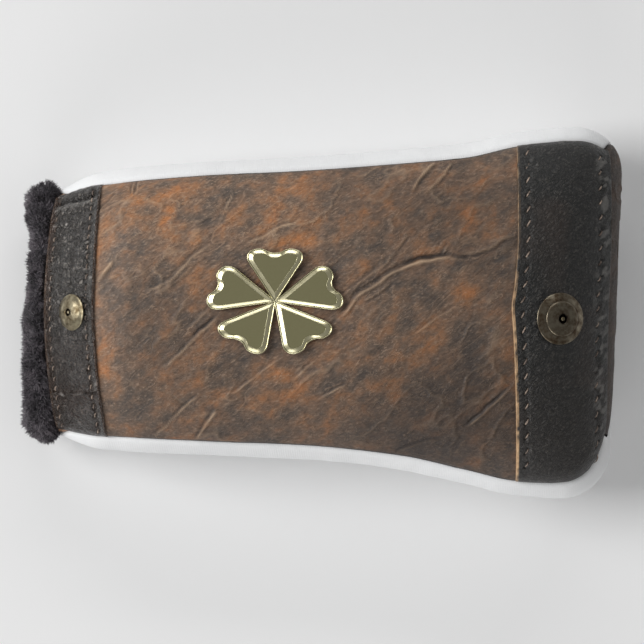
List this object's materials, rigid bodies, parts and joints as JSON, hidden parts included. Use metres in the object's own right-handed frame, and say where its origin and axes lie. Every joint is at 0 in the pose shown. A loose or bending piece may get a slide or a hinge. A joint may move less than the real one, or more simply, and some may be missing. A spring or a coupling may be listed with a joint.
{
  "type": "putter head cover",
  "caption": "Soft pull-on cover for a putter head: leather front with stitched straps, domed studs and a petal ornament, faux fur cuff at the mouth.",
  "frame": {"origin": "middle of the cover's bounding box, on the surface that its back rests on", "axes": "+X from the mouth to the closed end; +Y across the cover; +Z out of the front panel, up when the cover lies on its back"},
  "size_m": [0.202, 0.1232, 0.0548],
  "materials": {
    "brown_leather": "worn, waxed, mottled",
    "black_leather": "grained, semi-gloss",
    "white_neoprene": "fine knit face, matte",
    "padding_foam": "matte",
    "black_plush": "deep pile",
    "black_elastic": "ribbed web",
    "tan_thread": "waxed thread",
    "antique_brass": "antiqued",
    "pale_gold": "polished",
    "olive_enamel": "satin enamel"
  },
  "bodies": {
    "root": {"front_panel": "brown_leather", "front_padding": "padding_foam", "gusset": "white_neoprene", "back_panel": "white_neoprene", "front_lining": "black_plush", "back_lining": "black_plush", "mouth_elastic": "black_elastic", "fur_cuff": "black_plush", "mouth_strap": "black_leather", "toe_strap": "black_leather", "mouth_strap_stitch_outer": "tan_thread", "mouth_strap_stitch_inner": "tan_thread", "toe_strap_stitch_inner": "tan_thread", "toe_strap_stitch_outer": "tan_thread", "mouth_concho": "antique_brass", "mouth_rivet": "antique_brass", "mouth_rivet_burr": "antique_brass", "toe_concho": "antique_brass", "toe_rivet": "antique_brass", "toe_rivet_burr": "antique_brass", "badge_frame": "pale_gold", "badge_inlay_1": "olive_enamel", "badge_inlay_2": "olive_enamel", "badge_inlay_3": "olive_enamel", "badge_inlay_4": "olive_enamel", "badge_inlay_5": "olive_enamel", "badge_clutch_1": "antique_brass", "badge_clutch_2": "antique_brass"}
  },
  "joints": []
}
